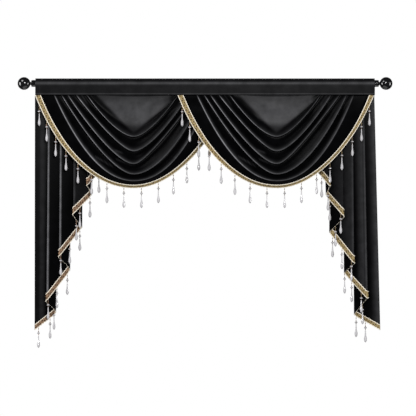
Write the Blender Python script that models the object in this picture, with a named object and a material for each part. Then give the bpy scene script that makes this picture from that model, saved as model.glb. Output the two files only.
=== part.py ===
# Window valance on its curtain rod: a rod-pocket header, two cowl swags that overlap at the middle,
# two knife-pleated tails, and a beaded braid along every hem. Metres, +Z up, front towards -Y.
# The origin is on the rod's axis, half way along it.

import math
from collections import namedtuple

import bpy
import bmesh
from mathutils import Vector

# ---- driving sizes ----

HEADER_LENGTH = 1.600
HEADER_TOP = 0.0238            # top of the heading fold, above the rod's axis
HEADER_BOTTOM = -0.0540        # where the swags and tails are sewn on
HEADER_HALF_DEPTH = 0.0150     # half the stack of pleats sewn under the header
HEADING_HALF_DEPTH = 0.0022    # the pinched fold above the pocket
HEADING_ROUND = 0.0008         # how far its edges lie under its top
HEADING_FOOT_OUT = 0.0010      # how its foot spreads onto the pocket, across
HEADING_FOOT_UP = 0.0006       # and upwards
HEADER_STATIONS = 8

ROD_RADIUS = 0.0150
ROD_SIDES = 24
BALL_RADIUS = 0.0300
BALL_CENTRE = 0.8538
NECK_RADIUS = 0.0075
FERRULE_RADIUS = 0.0160
FERRULE_LENGTH = 0.0190
FINIAL_SIDES = 20
BALL_STEPS = 10
FERRULE_SHOULDER = 0.0015      # length of the slope from the ferrule down to the neck

CLOTH = 0.0015                 # thickness of the velvet
PIECE_GAP = 0.0003             # between hard pieces
SEWN_GAP = 0.0005              # between sewn pieces
SEAM_GAP = 0.0007              # between the header and the cloth sewn under it
SEAM_Z = HEADER_BOTTOM - SEAM_GAP   # top edges of the swags and tails

# The rod pocket in section. Its corners lie at these angles above the level of the rod's axis, and
# the skirt under the rod has a corner at each of these shares of the way down to the seam.
POCKET_RADIUS = ROD_RADIUS + 2 * PIECE_GAP
POCKET_FLAT_HALF = 0.0030      # half the width of the pocket's flat top
POCKET_SHOULDER = math.radians(67.5)
POCKET_ANGLES = (math.radians(45.0), math.radians(22.5), 0.0)
SKIRT_SHARES = (0.30, 0.65)

SMOOTH_ANGLE = math.radians(40)    # edges sharper than this stay crisp
MERGE_DISTANCE = 0.000001

BRAID_WIDTH = 0.0240
BRAID_THICKNESS = 0.0020
STRAND_ROOT = 0.0024           # width of the thread where it leaves the braid

# ---- swags ----

# One row for each fold line of a swag, from the seam down to the hem. left and right are the half
# widths where the line meets the header, drop is its depth at the middle, and the powers say how
# round each side hangs: 1 is a V, 2 a parabola. The bows push a side outward between its ends.
FoldLine = namedtuple("FoldLine", "name left right drop left_power right_power left_bow right_bow")
SWAG_LINES = (
    FoldLine("seam", 0.170, 0.190, 0.0000, 1.60, 1.41, 0.000, 0.0000),
    FoldLine("fold 1", 0.221, 0.208, 0.1962, 1.58, 1.55, 0.000, 0.0000),
    FoldLine("fold 2", 0.272, 0.258, 0.2648, 1.28, 1.48, 0.000, 0.0000),
    FoldLine("fold 3", 0.312, 0.298, 0.3248, 1.40, 1.18, 0.000, 0.0000),
    FoldLine("fold 4", 0.341, 0.331, 0.3735, 1.48, 1.83, 0.000, 0.0000),
    FoldLine("fold 5", 0.375, 0.363, 0.4054, 2.04, 2.21, 0.000, 0.0000),
    FoldLine("braid", 0.440, 0.436, 0.4222, 2.16, 2.04, 0.009, 0.0110),
    FoldLine("hem", 0.466, 0.459, 0.4363, 2.18, 2.05, 0.012, 0.0085),
)
LINE_ROUNDING = 0.10           # softens the bottom of each V
BOW_POWER = 2.4                # puts the widest part of a bow three quarters of the way out

# The cloth's way through one fold, from its crest back and up under the lip, down to the valley
# and forward over the next face. along is the share of the way to the next crest, tuck is how far
# the point is drawn up under the lip, and wave is its place between valley (-1) and crest (1).
FoldStep = namedtuple("FoldStep", "name along tuck wave")
FOLD_STEPS = (
    FoldStep("crest", 0.00, 0.0, 1.00),
    FoldStep("nose", 0.04, 0.2, 0.45),
    FoldStep("under", 0.08, 0.9, -0.15),
    FoldStep("valley", 0.15, 0.2, -1.00),
    FoldStep("face", 0.58, 0.0, -0.15),
)

# The smooth top of a swag, between the seam and the first crest.
TopStep = namedtuple("TopStep", "drop wave")
TOP_STEPS = (TopStep(0.000, 0.0), TopStep(0.050, -0.2), TopStep(0.105, -0.5), TopStep(0.155, -0.4))

SWAG_COLUMNS = 26
WAVE_AT_SEAM = 0.0025          # half height of the pleats where they are sewn flat
WAVE_BELOW = 0.0105            # and where they hang free
WAVE_GROWTH = 0.110            # the drop over which they open
TUCK_DEPTH = 0.0075            # how far a lip hangs over the valley under it
TUCK_TRAVEL = 0.40             # share of a step's own way down that is left inside a tuck
SWAG_BULGE = 0.115             # how far the swag leans forward for each metre of drop
BRAID_WAVE = -0.40             # the hem turns back under the last crest

# Where each swag hangs. middle is its lowest point along the rod; left_y and right_y are its depths
# at the ends of its seam. The lifts bring a side forward: the right swag's over the left one and
# clear of its tail. A negative one presses the side under it back. drop_start is the way along the
# hem from the header to the first bead drop.
SwagPlace = namedtuple("SwagPlace", "name middle left_y right_y left_lift right_lift drop_start")
SWAG_PLACES = (
    SwagPlace("swag_left", -0.3350, -0.0090, 0.0005, 0.0, -0.010, 0.053),
    SwagPlace("swag_right", 0.3370, -0.0100, -0.0095, 0.022, 0.004, 0.060),
)
LIFT_GROWTH = 0.080            # the drop over which the lift comes in
LIFT_FROM = 0.090              # how far from the middle it starts
LIFT_SPAN = 0.130              # and the way from there to its full height

SWAG_DROP_PITCH = 0.0825
SWAG_DROP_COUNT = 16

# ---- tails ----

# One row for each upright fold of a tail, from its inner edge outward. top_x and hem_x are its
# distances from the middle of the rod, at the header and at the hem, and hem_drop is its length as
# the cloth comes to it. turn is how much lower the slanted hem is once round the fold, and braid is
# the braid's height there, measured straight up, which grows with the hem's slope.
TailFold = namedtuple("TailFold", "name top_x hem_x hem_drop turn braid")
LEFT_TAIL = (
    TailFold("inner edge", 0.492, 0.4810, 0.3400, 0.0000, 0.0360),
    TailFold("face 1 outer", 0.552, 0.5570, 0.4240, 0.0080, 0.0360),
    TailFold("return 1 inner", 0.527, 0.5340, 0.4510, 0.0269, 0.0330),
    TailFold("face 2 outer", 0.618, 0.6215, 0.5571, 0.0157, 0.0330),
    TailFold("return 2 inner", 0.577, 0.5810, 0.6128, 0.0205, 0.0340),
    TailFold("face 3 outer", 0.682, 0.6885, 0.7571, 0.0137, 0.0340),
    TailFold("return 3 inner", 0.634, 0.6380, 0.8104, 0.0254, 0.0350),
    TailFold("face 4 outer", 0.739, 0.7480, 0.9665, 0.0146, 0.0350),
    TailFold("return 4 inner", 0.694, 0.7045, 1.0113, 0.0232, 0.0280),
    TailFold("outer edge", 0.8025, 0.8035, 1.1085, 0.0000, 0.0265),
)
RIGHT_TAIL = (
    TailFold("inner edge", 0.500, 0.4950, 0.3190, 0.0000, 0.0360),
    TailFold("face 1 outer", 0.580, 0.5895, 0.4270, 0.0050, 0.0360),
    TailFold("return 1 inner", 0.558, 0.5705, 0.4524, 0.0297, 0.0345),
    TailFold("face 2 outer", 0.648, 0.6525, 0.5660, 0.0160, 0.0345),
    TailFold("return 2 inner", 0.591, 0.5876, 0.6396, 0.0149, 0.0370),
    TailFold("face 3 outer", 0.696, 0.7030, 0.7906, 0.0085, 0.0370),
    TailFold("return 3 inner", 0.648, 0.6570, 0.8307, 0.0173, 0.0345),
    TailFold("face 4 outer", 0.749, 0.7675, 0.9580, 0.0020, 0.0345),
    TailFold("return 4 inner", 0.697, 0.7045, 1.0255, 0.0175, 0.0255),
    TailFold("outer edge", 0.7985, 0.8260, 1.1080, 0.0000, 0.0250),
)

# How a tail's layers lie, at the header and at the hem. front_y is the depth of its outer folds,
# lean how much each layer goes back for each metre inward, and loop the width of a front fold.
TailStack = namedtuple("TailStack", "front_y lean loop ripple")
STACK_AT_HEADER = TailStack(0.0030, 0.094, 0.0024, 0.0000)
STACK_AT_HEM = TailStack(-0.0040, 0.350, 0.0078, 0.0012)
TAIL_LEVELS = (0.0, 0.14, 0.33, 0.53, 0.75, 1.0)

FACE_DROP_FORWARD = 0.0033     # the drops of a face hang clear of the return behind it
BACK_DROP_FORWARD = 0.0022     # those of a return hang from its far side, under its cloth

# Bead drops of each tail: the layer that each hangs on, its place from the layer's start, and how
# much further forward than its neighbours it hangs.
TailDrop = namedtuple("TailDrop", "layer along forward", defaults=(0.0,))
LEFT_TAIL_DROPS = (
    TailDrop("face 1", 0.29), TailDrop("face 2", 0.03), TailDrop("face 2", 0.65),
    TailDrop("return 2", 0.39), TailDrop("face 3", 0.03), TailDrop("face 3", 0.53),
    TailDrop("face 3", 0.96), TailDrop("face 4", 0.07), TailDrop("face 4", 0.55),
    TailDrop("face 4", 0.96), TailDrop("return 4", 0.95, 0.0083), TailDrop("face 5", 0.24),
    TailDrop("face 5", 0.81),
)
RIGHT_TAIL_DROPS = (
    TailDrop("face 1", 0.62), TailDrop("return 1", 0.75, 0.0083), TailDrop("face 2", 0.17),
    TailDrop("face 2", 0.88), TailDrop("return 2", 0.60, 0.003), TailDrop("face 3", 0.10),
    TailDrop("face 3", 0.51), TailDrop("face 3", 0.92), TailDrop("back fold 3", 0.50),
    TailDrop("face 4", 0.29), TailDrop("face 4", 0.74), TailDrop("return 4", 0.38, -0.0008),
    TailDrop("face 5", 0.03), TailDrop("face 5", 0.41),
)

# ---- bead drops ----

# One row for each ring of a bead drop: its depth under the braid and half its width there.
BeadRing = namedtuple("BeadRing", "name depth half")
BEAD_RINGS = (
    BeadRing("thread", 0.008, 0.0011),
    BeadRing("spacer bead", 0.020, 0.0028),
    BeadRing("rondelle", 0.026, 0.0064),
    BeadRing("under the rondelle", 0.031, 0.0022),
    BeadRing("neck", 0.044, 0.0021),
    BeadRing("teardrop", 0.068, 0.0046),
    BeadRing("widest", 0.083, 0.0064),
    BeadRing("tip", 0.098, 0.0006),
)

# ---- finishes ----

Finish = namedtuple("Finish", "name colour roughness metallic")
VELVET = Finish("black_velvet", (0.012, 0.012, 0.014), 0.55, 0.0)
HEADER_CLOTH = Finish("header_cloth", (0.016, 0.016, 0.018), 0.60, 0.0)
BRAID = Finish("gold_braid", (0.48, 0.36, 0.17), 0.60, 0.0)
BLACK_METAL = Finish("black_metal", (0.008, 0.008, 0.009), 0.22, 0.6)


def clear_scene():
    for item in list(bpy.data.objects):
        bpy.data.objects.remove(item, do_unlink=True)


def make_material(finish, name):
    material = bpy.data.materials.new(name)
    material.use_nodes = True
    shader = material.node_tree.nodes["Principled BSDF"]
    shader.inputs["Base Color"].default_value = (*finish.colour, 1.0)
    shader.inputs["Roughness"].default_value = finish.roughness
    shader.inputs["Metallic"].default_value = finish.metallic
    return material


def add_object(name, mesh_data, finish):
    mesh_data.normal_update()
    mesh = bpy.data.meshes.new(name)
    mesh_data.to_mesh(mesh)
    mesh_data.free()
    mesh.materials.append(make_material(finish, name + "_finish"))
    item = bpy.data.objects.new(name, mesh)
    bpy.context.collection.objects.link(item)
    return item


def blend(start, end, share):
    return start + (end - start) * share


def smooth_step(share):
    share = min(max(share, 0.0), 1.0)
    return share * share * (3.0 - 2.0 * share)


# ---- rod, finials and header ----

def build_rod():
    body = bmesh.new()
    bmesh.ops.create_cone(body, cap_ends=True, segments=ROD_SIDES, radius1=ROD_RADIUS,
                          radius2=ROD_RADIUS, depth=HEADER_LENGTH)
    rod = add_object("rod", body, BLACK_METAL)
    rod.rotation_euler = (0.0, math.pi / 2, 0.0)
    rod.data.shade_smooth()
    rod.data.set_sharp_from_angle(angle=SMOOTH_ANGLE)


def finial_profile():
    # Distance from the rod's middle and radius, from the ferrule out to the end of the ball.
    start = HEADER_LENGTH / 2 + PIECE_GAP
    ferrule_end = start + FERRULE_LENGTH
    profile = [(start, 0.0), (start, FERRULE_RADIUS), (ferrule_end, FERRULE_RADIUS),
               (ferrule_end + FERRULE_SHOULDER, NECK_RADIUS)]
    first = math.asin(NECK_RADIUS / BALL_RADIUS)
    for step in range(BALL_STEPS + 1):
        angle = math.pi - blend(first, math.pi, step / BALL_STEPS)
        profile.append((BALL_CENTRE + BALL_RADIUS * math.cos(angle), BALL_RADIUS * math.sin(angle)))
    return profile


def build_finial(name, side):
    body = bmesh.new()
    points = [body.verts.new((side * x, 0.0, radius)) for x, radius in finial_profile()]
    edges = [body.edges.new(pair) for pair in zip(points, points[1:])]
    bmesh.ops.spin(body, geom=points + edges, cent=(0, 0, 0), axis=(1, 0, 0), angle=2 * math.pi,
                   steps=FINIAL_SIDES, use_merge=True)
    bmesh.ops.remove_doubles(body, verts=body.verts, dist=MERGE_DISTANCE)
    bmesh.ops.recalc_face_normals(body, faces=body.faces)
    finial = add_object(name, body, BLACK_METAL)
    finial.data.shade_smooth()
    finial.data.set_sharp_from_angle(angle=SMOOTH_ANGLE)


def pocket_loops():
    # Half outlines of the sleeve from top to bottom, outside and inside, as (depth, height).
    outer_radius = POCKET_RADIUS + CLOTH
    inner = [(0.0, POCKET_RADIUS),
             (POCKET_FLAT_HALF, math.sqrt(POCKET_RADIUS ** 2 - POCKET_FLAT_HALF ** 2)),
             (POCKET_RADIUS * math.cos(POCKET_SHOULDER), POCKET_RADIUS * math.sin(POCKET_SHOULDER))]
    outer = [(0.0, HEADER_TOP),
             (HEADING_HALF_DEPTH, HEADER_TOP - HEADING_ROUND),
             (HEADING_HALF_DEPTH + HEADING_FOOT_OUT, outer_radius + HEADING_FOOT_UP)]
    for angle in POCKET_ANGLES:
        across, up = math.cos(angle), math.sin(angle)
        inner.append((POCKET_RADIUS * across, POCKET_RADIUS * up))
        outer.append((outer_radius * across, outer_radius * up))
    for share in SKIRT_SHARES:
        half = blend(outer_radius, HEADER_HALF_DEPTH, share)
        height = HEADER_BOTTOM * share
        inner.append((half - CLOTH, height))
        outer.append((half, height))
    inner.append((HEADER_HALF_DEPTH - CLOTH, HEADER_BOTTOM + 2 * CLOTH))
    outer.append((HEADER_HALF_DEPTH, HEADER_BOTTOM))
    return outer, inner


def whole_loop(half):
    # The half outline and its mirror, with a point added at the bottom middle.
    loop = [half[0]] + half[1:] + [(0.0, half[-1][1])]
    return loop + [(-depth, height) for depth, height in reversed(half[1:])]


def build_header():
    body = bmesh.new()
    outer, inner = (whole_loop(half) for half in pocket_loops())
    stations = []
    for step in range(HEADER_STATIONS + 1):
        x = HEADER_LENGTH * (step / HEADER_STATIONS - 0.5)
        outer_ring = [body.verts.new((x, depth, height)) for depth, height in outer]
        inner_ring = [body.verts.new((x, depth, height)) for depth, height in inner]
        stations.append((outer_ring, inner_ring))
    count = len(outer)
    for here, there in zip(stations, stations[1:]):
        for ring in (0, 1):
            for k in range(count):
                after = (k + 1) % count
                body.faces.new((here[ring][k], here[ring][after], there[ring][after],
                                there[ring][k]))
    for outer_ring, inner_ring in (stations[0], stations[-1]):
        for k in range(count):
            after = (k + 1) % count
            body.faces.new((outer_ring[k], outer_ring[after], inner_ring[after], inner_ring[k]))
    bmesh.ops.recalc_face_normals(body, faces=body.faces)
    add_object("header", body, HEADER_CLOTH)


# ---- cloth sheets ----

def sheet_mesh(rows):
    # A grid over the rows of points, each face cut along the diagonal that keeps it open.
    body = bmesh.new()
    bmesh.ops.create_grid(body, x_segments=len(rows[0]) - 1, y_segments=len(rows) - 1, size=1.0)
    body.verts.ensure_lookup_table()
    for vertex, point in zip(body.verts, (point for row in rows for point in row)):
        vertex.co = point
    bmesh.ops.triangulate(body, faces=body.faces, quad_method="BEAUTY")
    return body


def build_sheet(name, rows):
    sheet = add_object(name, sheet_mesh(rows), VELVET)
    solid = sheet.modifiers.new("thickness", "SOLIDIFY")
    solid.thickness = CLOTH
    solid.offset = 0.0
    solid.use_even_offset = True
    solid.use_quality_normals = True
    sheet.data.shade_smooth()


# ---- braid with bead drops ----

def line_lengths(points):
    lengths = [0.0]
    for before, after in zip(points, points[1:]):
        lengths.append(lengths[-1] + (after - before).length)
    return lengths


def at_length(points, lengths, wanted):
    for k in range(len(points) - 1):
        if wanted <= lengths[k + 1] or k == len(points) - 2:
            share = (wanted - lengths[k]) / (lengths[k + 1] - lengths[k])
            return points[k].lerp(points[k + 1], share)


def braid_stops(lengths, drop_places):
    # Places of the braid's sections, every column of the cloth and both sides of each thread,
    # with how far forward the drop hangs that starts there.
    stops = {}
    for place, forward in drop_places:
        stops[place - STRAND_ROOT / 2] = forward
        stops[place + STRAND_ROOT / 2] = None
    for length in lengths:
        if all(abs(length - place) > STRAND_ROOT for place, _ in drop_places):
            stops[length] = None
    return sorted(stops.items())


def braid_lines(top_line, hem_line):
    # The braid's four long edges, set off from the middle of the cloth with mitred corners.
    near = CLOTH / 2 + SEWN_GAP
    far = near + BRAID_THICKNESS
    lines = ([], [], [], [])
    last = len(hem_line) - 1
    for k, (top, hem) in enumerate(zip(top_line, hem_line)):
        across = (hem - top).normalized()
        ways = []
        for start, end in ((max(k - 1, 0), max(k, 1)), (min(k, last - 1), min(k + 1, last))):
            way = hem_line[end] - hem_line[start]
            ways.append((way - across * way.dot(across)).normalized())
        facing = across.cross(ways[0] + ways[1])
        if k in (0, last):
            facing.z = 0.0          # square to the seam that it is sewn to
        facing = facing.normalized() * 2 / (ways[0] + ways[1]).length
        for line, point, distance in zip(lines, (top, hem, hem, top), (far, far, near, near)):
            line.append(point + facing * distance)
    return lines


def build_trim(name, top_line, hem_line, drop_places):
    body = bmesh.new()
    lengths = line_lengths(hem_line)
    lines = braid_lines(top_line, hem_line)
    sections = []
    for place, drop_forward in braid_stops(lengths, drop_places):
        corners = [body.verts.new(at_length(line, lengths, place)) for line in lines]
        sections.append((corners, drop_forward))
    for (here, drop_forward), (there, _) in zip(sections, sections[1:]):
        for k in range(4):
            after = (k + 1) % 4
            if k == 1 and drop_forward is not None:
                add_bead_drop(body, (here[1], here[2], there[2], there[1]), drop_forward)
            else:
                body.faces.new((here[k], here[after], there[after], there[k]))
    body.faces.new(sections[0][0])
    body.faces.new(sections[-1][0])
    bmesh.ops.recalc_face_normals(body, faces=body.faces)
    add_object(name, body, BRAID)


def add_bead_drop(body, root, forward):
    # A four-sided strand that grows out of the braid's lower edge and hangs straight down,
    # forward of its root by this much, clear of the layer behind.
    centre = sum((vertex.co for vertex in root), Vector()) / 4
    by_turn = sorted(root, key=lambda vertex: math.atan2(vertex.co.y - centre.y,
                                                         vertex.co.x - centre.x))
    start = root.index(by_turn[0])
    turning = 1 if root[(start + 1) % 4] is by_turn[1] else -1
    ring = [root[(start + turning * k) % 4] for k in range(4)]
    corners = ((-1, -1), (1, -1), (1, 1), (-1, 1))
    for row in BEAD_RINGS:
        middle_y = centre.y - (forward / 2 if row is BEAD_RINGS[0] else forward)
        below = [body.verts.new((centre.x + x * row.half, middle_y + y * row.half,
                                 centre.z - row.depth)) for x, y in corners]
        for k in range(4):
            after = (k + 1) % 4
            body.faces.new((ring[k], ring[after], below[after], below[k]))
        ring = below
    body.faces.new(ring)


# ---- swags ----

def line_at(drop):
    # The fold line that hangs to this drop, read between the rows of the table.
    for above, below in zip(SWAG_LINES, SWAG_LINES[1:]):
        if drop <= below.drop or below is SWAG_LINES[-1]:
            share = (drop - above.drop) / (below.drop - above.drop)
            return FoldLine("between", *(blend(a, b, share) for a, b in zip(above[1:], below[1:])))


def rounded_power(value, power):
    return (value * value + LINE_ROUNDING ** 2) ** (power / 2)


def hang_share(side, power):
    # How far up a fold line has come: 0 at its lowest point, 1 at the header.
    lowest = rounded_power(0.0, power)
    return (rounded_power(side, power) - lowest) / (rounded_power(1.0, power) - lowest)


def swag_point(place, side, drop, wave):
    line = line_at(drop)
    half, power, bow = ((line.left, line.left_power, line.left_bow) if side < 0
                        else (line.right, line.right_power, line.right_bow))
    out = abs(side) * half + bow * math.sin(math.pi * abs(side) ** BOW_POWER)
    below = drop * (1.0 - hang_share(side, power))
    height = blend(WAVE_AT_SEAM, WAVE_BELOW, smooth_step(below / WAVE_GROWTH))
    seam_y = blend(place.left_y, place.right_y, smooth_step((side + 1) / 2))
    lift = place.left_lift if side < 0 else place.right_lift
    lift *= smooth_step(below / LIFT_GROWTH) * smooth_step((out - LIFT_FROM) / LIFT_SPAN)
    y = seam_y - SWAG_BULGE * below - lift - height * wave
    return Vector((place.middle + math.copysign(out, side), y, SEAM_Z - below))


def fold_drop(side, line, following, step):
    # The drop of one step of a fold: tucked up where the cloth hangs free, flat at the header.
    power = line.left_power if side < 0 else line.right_power
    below = line.drop * (1.0 - hang_share(side, power))
    free = smooth_step(below / WAVE_GROWTH)
    way = step.along * (following.drop - line.drop)
    if step.tuck:
        return line.drop + blend(way, way * TUCK_TRAVEL - step.tuck * TUCK_DEPTH, free)
    return line.drop + way


def swag_sides():
    for column in range(SWAG_COLUMNS + 1):
        even = 2 * column / SWAG_COLUMNS - 1
        yield 0.5 * even + 0.5 * math.sin(even * math.pi / 2)


def swag_rows(place):
    sides = list(swag_sides())
    rows = [[swag_point(place, side, step.drop, step.wave) for side in sides] for step in TOP_STEPS]
    folds = SWAG_LINES[1:-1]
    for line, following in zip(folds, folds[1:]):
        steps = FOLD_STEPS if following is not folds[-1] else FOLD_STEPS[:1]
        for step in steps:
            rows.append([swag_point(place, side, fold_drop(side, line, following, step), step.wave)
                         for side in sides])
    braid, hem = SWAG_LINES[-2:]
    braid_row = [swag_point(place, side, braid.drop, BRAID_WAVE) for side in sides]
    rows += [braid_row, [hem_point(place, side, above, hem) for side, above in zip(sides, braid_row)]]
    return rows


def hem_point(place, side, above, hem):
    # The hem lies one braid width from the line above it, turned back by what the view hides.
    below = swag_point(place, side, hem.drop, 0.0)
    seen = math.hypot(below.x - above.x, below.z - above.z)
    back = math.sqrt(max(BRAID_WIDTH ** 2 - seen ** 2, 0.0))
    return Vector((below.x, above.y + back, below.z))


def build_swag(place):
    rows = swag_rows(place)
    build_sheet(place.name, rows)
    places = [(place.drop_start + SWAG_DROP_PITCH * k, 0.0) for k in range(SWAG_DROP_COUNT)]
    build_trim("trim_" + place.name, rows[-2], rows[-1], places)


# ---- tails ----

def stack_at(level):
    return TailStack(*(blend(a, b, level) for a, b in zip(STACK_AT_HEADER, STACK_AT_HEM)))


def tail_stations(folds):
    # The tail's way across, as (layer, along, first fold, second fold, kind of point).
    stations = []
    for k, (start, end) in enumerate(zip(folds, folds[1:])):
        number = k // 2 + 1
        if k % 2 == 0:
            shares = (0.0, 0.25, 0.5, 0.75, 1.0) if k else (0.0, 0.5, 1.0)
            stations += [("face %d" % number, share, start, end) for share in shares]
            if end is not folds[-1]:
                stations.append(("front fold %d" % number, 0.5, end, end))
        else:
            stations += [("return %d" % number, share, start, end) for share in (0.0, 1.0)]
            stations.append(("back fold %d" % number, 0.5, end, end))
    return stations


def fold_x(fold, level):
    return blend(fold.top_x, fold.hem_x, level)


def back_turn(folds, number, level):
    # Half the width of the loop behind a return, from its layer to the next face.
    stack = stack_at(level)
    outer, following = folds[2 * number - 1], folds[2 * number + 1]
    return (stack.lean * (fold_x(following, level) - fold_x(outer, level)) - stack.loop) / 2


def face_y(stack, fold, level, x):
    # Depth of the face that ends at this fold.
    return stack.front_y + stack.lean * (fold_x(fold, level) - stack.loop / 2 - x)


def tail_point(folds, station, level):
    # x is measured outward and y back, for a tail that has not yet been put on its side.
    layer, along, start, end = station
    stack = stack_at(level)
    turn = stack.loop / 2
    kind, number = layer.rsplit(" ", 1)
    number = int(number)
    outer = folds[2 * number - 1]
    if kind == "front fold":
        return fold_x(end, level), stack.front_y + turn
    if kind == "return":
        inner_x = fold_x(end, level) + back_turn(folds, number, level)
        x = blend(fold_x(start, level) - turn, inner_x, along)
        return x, face_y(stack, outer, level, x) + stack.loop
    if kind == "back fold":
        x = fold_x(end, level) + back_turn(folds, number, level)
        following = folds[2 * number + 1]
        return_y = face_y(stack, outer, level, x) + stack.loop
        return fold_x(end, level), (return_y + face_y(stack, following, level, x)) / 2
    is_first, is_last = start is folds[0], end is folds[-1]
    first_x = fold_x(start, level) + (0.0 if is_first else back_turn(folds, number - 1, level))
    last_x = fold_x(end, level) - (0.0 if is_last else turn)
    x = blend(first_x, last_x, along)
    ripple = 0.0 if is_first else stack.ripple * math.sin(along * 2 * math.pi)
    return x, face_y(stack, end, level, x) + ripple


def station_drop(along, start, end):
    if start is end:
        return start.hem_drop + start.turn / 2
    return blend(start.hem_drop + start.turn, end.hem_drop, along)


def tail_rows(folds, side):
    stations = tail_stations(folds)
    drops = [station_drop(along, start, end) for _, along, start, end in stations]
    heights = [blend(start.braid, end.braid, along) for _, along, start, end in stations]
    rows = []
    for level in TAIL_LEVELS:
        row = []
        for station, drop, height in zip(stations, drops, heights):
            x, y = tail_point(folds, station, level * (1 - height / drop))
            row.append(Vector((side * x, y, SEAM_Z - level * (drop - height))))
        rows.append(row)
    hem = [tail_point(folds, station, 1.0) for station in stations]
    rows.append([Vector((side * x, y, SEAM_Z - drop)) for (x, y), drop in zip(hem, drops)])
    return stations, rows


def tail_drop_places(stations, hem_line, drops):
    # The bead drops' places as lengths along the hem, each with how far forward it hangs.
    lengths = line_lengths(hem_line)
    places = []
    for drop in drops:
        marks = sorted((station[1], length) for station, length in zip(stations, lengths)
                       if station[0] == drop.layer)
        forward = FACE_DROP_FORWARD if drop.layer.startswith("face") else BACK_DROP_FORWARD
        place = marks[0][1]
        for (share, length), (next_share, next_length) in zip(marks, marks[1:]):
            if share <= drop.along <= next_share:
                place = blend(length, next_length, (drop.along - share) / (next_share - share))
                break
        places.append((place, forward + drop.forward))
    return places


def build_tail(name, folds, side, drops):
    stations, rows = tail_rows(folds, side)
    build_sheet(name, rows)
    if side < 0:
        stations = stations[::-1]
        rows = [row[::-1] for row in rows]
    build_trim("trim_" + name, rows[-2], rows[-1], tail_drop_places(stations, rows[-1], drops))


def build():
    clear_scene()
    build_rod()
    build_finial("finial_left", -1)
    build_finial("finial_right", 1)
    build_header()
    for place in SWAG_PLACES:
        build_swag(place)
    build_tail("tail_left", LEFT_TAIL, -1, LEFT_TAIL_DROPS)
    build_tail("tail_right", RIGHT_TAIL, 1, RIGHT_TAIL_DROPS)


build()
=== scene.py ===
import math
from collections import namedtuple

import bmesh
import bpy
import numpy as np
from mathutils import Matrix, Vector


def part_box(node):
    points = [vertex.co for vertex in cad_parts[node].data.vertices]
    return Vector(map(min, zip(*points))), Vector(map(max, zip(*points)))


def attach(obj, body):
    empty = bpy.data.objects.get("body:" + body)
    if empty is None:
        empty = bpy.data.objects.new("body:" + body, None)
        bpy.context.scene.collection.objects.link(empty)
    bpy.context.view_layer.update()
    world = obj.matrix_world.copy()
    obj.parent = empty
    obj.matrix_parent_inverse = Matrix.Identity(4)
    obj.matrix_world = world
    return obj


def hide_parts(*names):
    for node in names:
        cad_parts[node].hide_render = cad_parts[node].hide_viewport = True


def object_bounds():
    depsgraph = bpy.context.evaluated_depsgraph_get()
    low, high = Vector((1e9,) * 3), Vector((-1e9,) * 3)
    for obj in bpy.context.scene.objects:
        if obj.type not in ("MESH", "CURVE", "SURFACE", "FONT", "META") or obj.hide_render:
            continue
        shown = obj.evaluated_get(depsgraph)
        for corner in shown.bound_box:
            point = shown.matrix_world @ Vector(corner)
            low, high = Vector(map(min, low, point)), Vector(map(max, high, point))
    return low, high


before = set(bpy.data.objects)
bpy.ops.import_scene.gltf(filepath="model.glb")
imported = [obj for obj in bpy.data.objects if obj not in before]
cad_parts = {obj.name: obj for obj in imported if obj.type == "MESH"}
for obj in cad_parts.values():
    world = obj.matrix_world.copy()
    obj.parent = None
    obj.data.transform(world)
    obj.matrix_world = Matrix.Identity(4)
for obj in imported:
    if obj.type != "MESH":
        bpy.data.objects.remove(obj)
cadLow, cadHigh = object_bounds()
print("Frame loaded:", len(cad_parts), "nodes")

# Window valance on its rod: header, two cowl swags, two pleated tails, beaded braid on every hem.
# Metres, +Z up, the front faces -Y, and the origin is on the rod's axis, half way along it.

scene = bpy.context.scene


def blend(start, end, share):
    return start + (end - start) * share


def smoothStep(share):
    share = np.clip(share, 0.0, 1.0)
    return share * share * (3.0 - 2.0 * share)


def smoothCurve(points, steps):
    # A centripetal Catmull-Rom curve through points[0], points[1] and so on: round at a tight turn.
    points = np.asarray(points, float)
    ends = [points[0] * 2 - points[1], points[-1] * 2 - points[-2]]
    points = np.concatenate([ends[:1], points, ends[1:]])
    line = []
    for before, start, end, after in zip(points, points[1:], points[2:], points[3:]):
        first, middle, third = (
            np.sqrt(np.linalg.norm(b - a, axis=-1, keepdims=True) + 1e-9)
            for a, b in ((before, start), (start, end), (end, after)))
        startWay = middle * ((start - before) / first - (end - before) / (first + middle)) + end - start
        endWay = middle * ((after - end) / third - (after - start) / (middle + third)) + end - start
        for step in range(steps):
            t = step / steps
            line.append(start * (2 * t ** 3 - 3 * t ** 2 + 1) + end * (3 * t ** 2 - 2 * t ** 3)
                        + startWay * (t ** 3 - 2 * t ** 2 + t) + endWay * (t ** 3 - t ** 2))
    line.append(points[-2])
    return np.array(line)


def spread(values, steps):
    # Values at a smooth curve's own points, for the points that smoothCurve puts between them.
    places = np.arange((len(values) - 1) * steps + 1) / steps
    return np.interp(places, np.arange(len(values)), values)


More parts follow.
